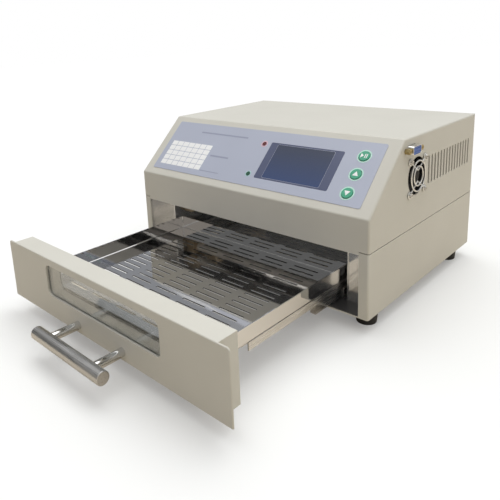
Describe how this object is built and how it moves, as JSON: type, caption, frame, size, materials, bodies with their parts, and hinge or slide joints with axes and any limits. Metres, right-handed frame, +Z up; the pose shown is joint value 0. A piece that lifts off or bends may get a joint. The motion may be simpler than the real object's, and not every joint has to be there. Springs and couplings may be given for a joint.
{
  "type": "reflow oven",
  "caption": "Bench reflow oven: sheet-metal cabinet with a sloping control face, side fan and vents, and a slide-out drawer carrying a slotted tray, glazed front and bar handle.",
  "frame": {"origin": "centre of the cabinet footprint, on the plane that the four feet stand on", "axes": "+X to the right seen from the front, +Y from the front to the back, +Z up; the drawer is stored pulled out towards -Y"},
  "size_m": [0.316, 0.4627, 0.17],
  "materials": {
    "cover_paint": "fine off-white powder coat",
    "pan_paint": "fine off-white powder coat",
    "rear_paint": "fine off-white powder coat",
    "drawer_paint": "fine off-white powder coat",
    "screw_steel": "bright nickel-plated screws",
    "rubber": "black moulded rubber",
    "floor_paint": "dark grey coated sheet",
    "galvanised": "bright galvanised sheet",
    "liner_steel": "bright liner sheet",
    "reflector_steel": "polished reflector sheet",
    "insulation": "white ceramic-fibre blanket",
    "quartz": "quartz tube",
    "ceramic": "unglazed tan ceramic",
    "probe_steel": "sheathed probe",
    "board_green": "green circuit board",
    "sink_aluminium": "extruded aluminium",
    "transformer_steel": "laminated core",
    "lcd_body": "black display bezel",
    "lcd_glass": "dark display cover",
    "panel_print": "pale lavender-blue printed film",
    "key_green": "green key cap",
    "lamp_red": "red lamp",
    "lamp_green": "green lamp",
    "fan_black": "black glass-filled plastic",
    "guard_chrome": "plated steel wire",
    "connector_tin": "tinned steel shell",
    "connector_blue": "blue connector insert",
    "nut_brass": "brass jack nuts",
    "inlet_black": "black thermoplastic",
    "window_glass": "toughened glass with a green edge",
    "handle_steel": "satin stainless bar",
    "post_chrome": "polished posts",
    "tray_steel": "mirror-finish stainless sheet",
    "slide_zinc": "zinc-plated slides"
  },
  "bodies": {
    "cabinet": {"base_pan": "pan_paint", "ceramic_blocks": "ceramic", "chamber_base_plate": "liner_steel", "chamber_floor": "floor_paint", "chamber_frame": "galvanised", "chamber_liner": "liner_steel", "control_board": "board_green", "control_panel": "panel_print", "cover_screws": "screw_steel", "fan_screws": "screw_steel", "foot_front_left": "rubber", "foot_front_right": "rubber", "foot_rear_left": "rubber", "foot_rear_right": "rubber", "foot_screws": "screw_steel", "fuse_holder": "inlet_black", "heat_sink": "sink_aluminium", "heater_tube_1": "quartz", "heater_tube_2": "quartz", "heater_tube_3": "quartz", "heater_tube_4": "quartz", "inner_deck": "galvanised", "insulation_pad": "insulation", "lcd_lens": "lcd_glass", "lcd_module": "lcd_body", "led_green": "lamp_green", "led_red": "lamp_red", "power_board": "board_green", "power_inlet": "inlet_black", "rear_fan_frame": "fan_black", "rear_fan_guard": "guard_chrome", "rear_panel": "rear_paint", "reflector": "reflector_steel", "serial_insert": "connector_blue", "serial_nuts": "nut_brass", "serial_shell": "connector_tin", "side_fan_frame": "fan_black", "side_fan_guard": "guard_chrome", "slide_channels": "slide_zinc", "switch_housing": "inlet_black", "thermocouples": "probe_steel", "top_cover": "cover_paint", "transformer": "transformer_steel"},
    "drawer": {"drawer_front": "drawer_paint", "window_glass_outer": "window_glass", "window_glass_inner": "window_glass", "handle_bar": "handle_steel", "handle_posts": "post_chrome", "handle_screws": "screw_steel", "slotted_tray": "tray_steel", "slide_rails": "slide_zinc", "tray_screws": "screw_steel"},
    "middle_left": {"slide_middle_left": "slide_zinc"},
    "middle_right": {"slide_middle_right": "slide_zinc"},
    "side_rotor": {"side_fan_rotor": "fan_black"},
    "rear_rotor": {"rear_fan_rotor": "fan_black"},
    "rocker": {"switch_rocker": "inlet_black"},
    "key_start": {"button_start": "key_green"},
    "key_up": {"button_up": "key_green"},
    "key_down": {"button_down": "key_green"}
  },
  "joints": [
    {"name": "drawer_slide", "type": "slide", "parent": "cabinet", "child": "drawer", "axis": [0, 1, 0], "range_m": [0, 0.1765]},
    {"name": "left_middle_slide", "type": "slide", "parent": "cabinet", "child": "middle_left", "axis": [0, 1, 0], "range_m": [0, 0.0883]},
    {"name": "right_middle_slide", "type": "slide", "parent": "cabinet", "child": "middle_right", "axis": [0, 1, 0], "range_m": [0, 0.0883]},
    {"name": "side_fan_spin", "type": "hinge", "parent": "cabinet", "child": "side_rotor", "pos_m": [0.155, -0.0285, 0.13], "axis": [1, 0, 0], "continuous": true},
    {"name": "rear_fan_spin", "type": "hinge", "parent": "cabinet", "child": "rear_rotor", "pos_m": [0.06, 0.119, 0.137], "axis": [0, 1, 0], "continuous": true},
    {"name": "power_rocker", "type": "hinge", "parent": "cabinet", "child": "rocker", "pos_m": [-0.062, 0.1165, 0.127], "axis": [1, 0, 0], "range_deg": [-22, 0]},
    {"name": "start_key_press", "type": "slide", "parent": "cabinet", "child": "key_start", "axis": [0, 0.6839, -0.7295], "range_m": [0, 0.0008], "stiffness_N_per_m": 300},
    {"name": "up_key_press", "type": "slide", "parent": "cabinet", "child": "key_up", "axis": [0, 0.6839, -0.7295], "range_m": [0, 0.0008], "stiffness_N_per_m": 300},
    {"name": "down_key_press", "type": "slide", "parent": "cabinet", "child": "key_down", "axis": [0, 0.6839, -0.7295], "range_m": [0, 0.0008], "stiffness_N_per_m": 300}
  ],
  "couplings": [
    {"joint": "left_middle_slide", "follows": "drawer_slide", "ratio": 0.5},
    {"joint": "right_middle_slide", "follows": "drawer_slide", "ratio": 0.5}
  ]
}
